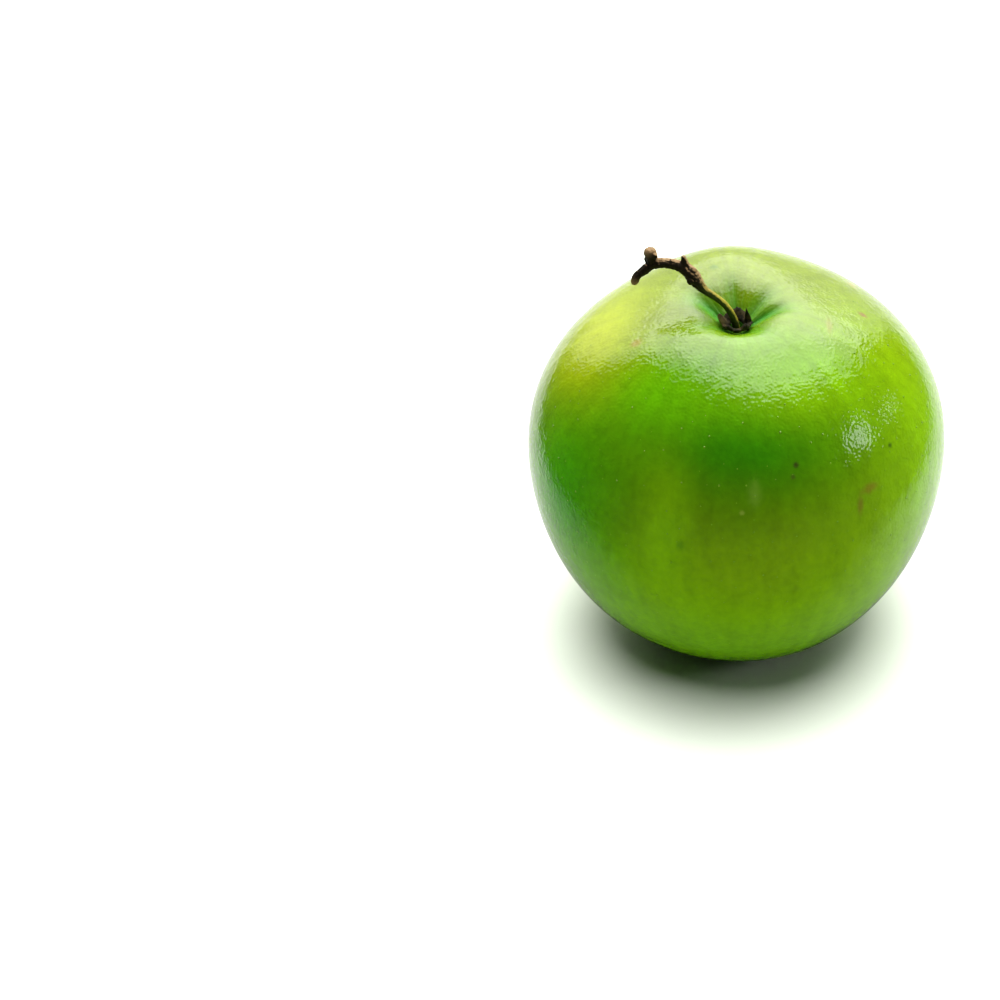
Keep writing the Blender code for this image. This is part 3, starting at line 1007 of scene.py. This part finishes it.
def lenticel_tree(material):
    tree, start, size = new_tree("lenticels", lenticel_sizes)
    height = axes(tree, tree.nodes.new("GeometryNodeInputPosition").outputs[0])[2]
    share = (size["Sparse Above"] - height) / FADE_HEIGHT
    scatter = tree.nodes.new("GeometryNodeDistributePointsOnFaces")
    scatter.distribute_method = "POISSON"
    set_inputs(
        tree, scatter, Mesh=start.outputs["Geometry"], Distance_Min=size["Least Gap"],
        Density_Max=size["Density"], Density_Factor=share.clamped(), Seed=size["Seed"],
    )
    dome = add_node(tree, "GeometryNodeMeshIcoSphere",
                    Radius=size["Dome Radius"], Subdivisions=1)
    flat = add_node(tree, "GeometryNodeTransform",
                    Geometry=dome.outputs["Mesh"], Scale=(1.0, 1.0, DOME_FLATNESS))
    chance = tree.nodes.new("FunctionNodeRandomValue")
    chance.data_type = "FLOAT"
    link(tree, size["Smallest"], chance.inputs[2])
    link(tree, size["Largest"], chance.inputs[3])
    link(tree, size["Seed"] + 1, chance.inputs["Seed"])
    copies = add_node(tree, "GeometryNodeInstanceOnPoints",
                      Points=scatter.outputs["Points"], Instance=flat.outputs[0],
                      Rotation=scatter.outputs["Rotation"], Scale=chance.outputs[1])
    end_tree(tree, copies.outputs[0], material)
    print(tree.name, "has", len(tree.nodes), "nodes")
    return tree


# %% Scatter the lenticels
LENTICEL_GREEN, LENTICEL_PALE = (0.200, 0.450, 0.015), (0.280, 0.500, 0.040)


def paint_lenticels(material):
    box = PaintBox(material)
    colour = box.mix(box.mottle(9.0) * 0.8 + 0.5, LENTICEL_GREEN, LENTICEL_PALE)
    box.bump(box.mottle(0.2) * 0.004, MM)
    box.set(Base_Color=colour, Roughness=0.12 + box.mottle(3.0) * 0.03, IOR=1.46)
    box.set(**FLESH)


pale = new_material("pale_lenticel")
paint_lenticels(pale)
lenticels = grow_mesh("lenticels", lenticel_tree(pale), lenticel_sizes, base=fruit.data)
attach(lenticels, "root")
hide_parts("fruit")

# %% [markdown]
# ## The camera
# The camera stood above the fruit with a long lens, and the fruit isn't in the middle of the
# picture. So the camera is aimed at the fruit's widest circle and then turned aside, which needs
# no shift of the lens.

# %% Camera
LENS = 100.0  # mm
SENSOR = 36.0  # mm
IMAGE_WIDTH = 1000.0  # pixels
ELEVATION = math.radians(36.0)
DISTANCE = 406.3 * MM
AIM = Vector((0.0, 0.0, WIDEST_HEIGHT))
AIM_PIXEL = (735.3, 438.9)  # where that point lies in the picture, from its top left corner
NEAREST_SEEN, FARTHEST_SEEN = 0.02, 20.0  # m


def make_camera():
    data = bpy.data.cameras.new("camera")
    data.lens, data.sensor_width = LENS, SENSOR
    data.clip_start, data.clip_end = NEAREST_SEEN, FARTHEST_SEEN
    camera = add_object("camera", data)
    back = Vector((0.0, -math.cos(ELEVATION), math.sin(ELEVATION)))
    camera.location = AIM + back * DISTANCE
    focal, half = IMAGE_WIDTH * LENS / SENSOR, IMAGE_WIDTH / 2
    seen = Vector(((AIM_PIXEL[0] - half) / focal, (half - AIM_PIXEL[1]) / focal, -1.0)).normalized()
    turned_aside = seen.rotation_difference(Vector((0.0, 0.0, -1.0)))
    camera.rotation_mode = "QUATERNION"
    camera.rotation_quaternion = (-back).to_track_quat("-Z", "Y") @ turned_aside
    bpy.context.scene.camera = camera
    print("camera at", [round(number, 4) for number in camera.location])


make_camera()

# %% [markdown]
# ## Floor and light
# The fruit stood on a white sweep, lit from behind. The gloss on its crown tells how: it mirrors
# one large round soft box above and behind, brighter on its right and towards the top, with a
# white screen under it. The second, sparkling reflection is a pair of small lamps on the right.
# The front had hardly any light but what the floor sends back, so it stays deep green. A last
# lamp lights the floor alone, for a small soft shadow. To the camera the sky is white and the
# floor whitens towards its ends, so no horizon shows. What the floor sends back has tones of its
# own: dark in front of the fruit, and bright only behind it.

# %% Floor
FLOOR_HALF = 1.0  # m
floor_mesh = bpy.data.meshes.new("floor")
corners = [(x * FLOOR_HALF, y * FLOOR_HALF, 0.0) for x, y in ((-1, -1), (1, -1), (1, 1), (-1, 1))]
floor_mesh.from_pydata(corners, [], [(0, 1, 2, 3)])
floor = add_object("floor", floor_mesh)
floor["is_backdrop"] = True
print("the floor is", 2 * FLOOR_HALF, "m wide")

# %% The floor's tones
FLOOR_TONES = {
    # Near the fruit the camera sees a grey-green floor, which shows only in its shadow: a painted
    # green tint of the shadow
    "near": (0.60, 0.64, 0.56), "far off": (0.95, 0.95, 0.95),
    "sent back": (0.35, 0.38, 0.29),
    "gloss in front": (0.012, 0.020, 0.004), "gloss behind": (0.34, 0.35, 0.33),
}
WHITE_FROM, WHITE_FADE = 350.0, 250.0  # mm from the fruit, for the camera
# For the gloss, what lies behind one line and between two slanting ones is bright, in mm
BEHIND_FROM, BEHIND_FADE = -36.0, 60.0
SLANT_START, SLANT, SLANT_FADE = 85.0, 3.0, 80.0


def paint_floor():
    material = new_material("white_sweep")
    box = PaintBox(material)
    aside, back, _ = axes(box.tree, box.point)
    aside = aside.size()
    behind = ((back - BEHIND_FROM) / BEHIND_FADE).clamped()
    behind = behind * ((back - (aside - SLANT_START) * SLANT) / SLANT_FADE + 0.5).clamped()
    far = (((aside * aside + back * back).root() - WHITE_FROM) / WHITE_FADE).clamped()

    path = box.tree.nodes.new("ShaderNodeLightPath").outputs
    gloss = box.mix(behind, FLOOR_TONES["gloss in front"], FLOOR_TONES["gloss behind"])
    sent_back = box.mix(path["Is Glossy Ray"], FLOOR_TONES["sent back"], gloss)
    seen = box.mix(far, FLOOR_TONES["near"], FLOOR_TONES["far off"])
    box.set(Base_Color=box.mix(path["Is Camera Ray"], sent_back, seen),
            Roughness=0.9, Specular_IOR_Level=0.1)
    print(material.name, "has", len(box.tree.nodes), "nodes")
    return material


floor_mesh.materials.append(paint_floor())


# %% Lights
LIT_POINT = Vector((0.0, 0.0, 50.0 * MM))
# Azimuth in degrees (0 is behind, 90 is right), elevation, distance and width in m, radiance
LIGHTS = {
    "big_soft_box": (13.0, 58.0, 0.75, 1.42, 2.0),
    "bright_middle": (25.0, 66.0, 0.75, 0.90, 1.8),
    "side_lamp": (100.0, 21.0, 0.9, 0.22, 5.0),
    "small_side_lamp": (76.0, 13.0, 0.9, 0.10, 4.0),
    "floor_lamp": (0.0, 88.0, 1.0, 1.2, 8.0),
}


def soft_box(name, azimuth, elevation, distance, width, radiance):
    """A round light in that direction from the fruit, facing it."""
    data = bpy.data.lights.new(name, "AREA")
    data.shape, data.size = "DISK", width
    data.energy = radiance * math.pi * math.pi * (width / 2) ** 2
    lamp = add_object(name, data)
    turn, up = math.radians(azimuth), math.radians(elevation)
    away = Vector((math.sin(turn) * math.cos(up), math.cos(turn) * math.cos(up), math.sin(up)))
    lamp.location = LIT_POINT + away * distance
    lamp.rotation_mode = "QUATERNION"
    lamp.rotation_quaternion = (-away).to_track_quat("-Z", "Y")
    print(name, "gives", round(data.energy, 2), "W")
    return lamp


lamps = {name: soft_box(name, *numbers) for name, numbers in LIGHTS.items()}
lit_by_it = bpy.data.collections.new("lit_by_floor_lamp")
lit_by_it.objects.link(floor)
lamps["floor_lamp"].light_linking.receiver_collection = lit_by_it

# %% Sky
SCREEN_TURN = math.radians(5.0)  # its middle lies this far left of straight behind
SCREEN_REACH = math.radians(35.0)  # half its width at the floor
SCREEN_EDGE = 0.06  # how softly it ends, as a cosine
SCREEN_LIGHT, DARK_SIDE_LIGHT = 0.8, 0.025
HIGH_UP = 0.5  # the screen widens and brightens up to here
WIDENING, BRIGHTENING = 0.4, 2.0


def paint_sky():
    """White to the camera, and a bright screen behind the fruit for the light."""
    world = bpy.data.worlds.new("studio")
    bpy.context.scene.world = world
    world.use_nodes = True
    tree = world.node_tree
    tree.nodes.clear()
    x, y, z = axes(tree, tree.nodes.new("ShaderNodeTexCoord").outputs["Generated"])
    across = (x * x + y * y).root().at_least(0.001)
    facing = (y * math.cos(SCREEN_TURN) - x * math.sin(SCREEN_TURN)) / across
    rise = z.at_least(0.0).at_most(HIGH_UP)
    screen = (facing + rise * WIDENING - math.cos(SCREEN_REACH)) / SCREEN_EDGE + 0.5
    screen = screen.clamped() * (1.0 + rise * BRIGHTENING)
    light = screen * SCREEN_LIGHT + DARK_SIDE_LIGHT
    seen = Number(tree, tree.nodes.new("ShaderNodeLightPath").outputs["Is Camera Ray"])
    background = add_node(tree, "ShaderNodeBackground", Color=(1.0, 1.0, 1.0, 1.0),
                          Strength=light * (1.0 - seen) + seen)
    add_node(tree, "ShaderNodeOutputWorld", Surface=background.outputs[0])
    print("the sky has", len(tree.nodes), "nodes")


paint_sky()
bpy.context.scene.view_settings.view_transform = "Standard"

# %% [markdown]
# ## Measure the dressed fruit
# The dressed fruit has to stay in its CAD box, so both boxes are printed.

# %% Sizes, and the end
dressed_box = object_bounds()
print("dressed box in mm:", in_mm(dressed_box))
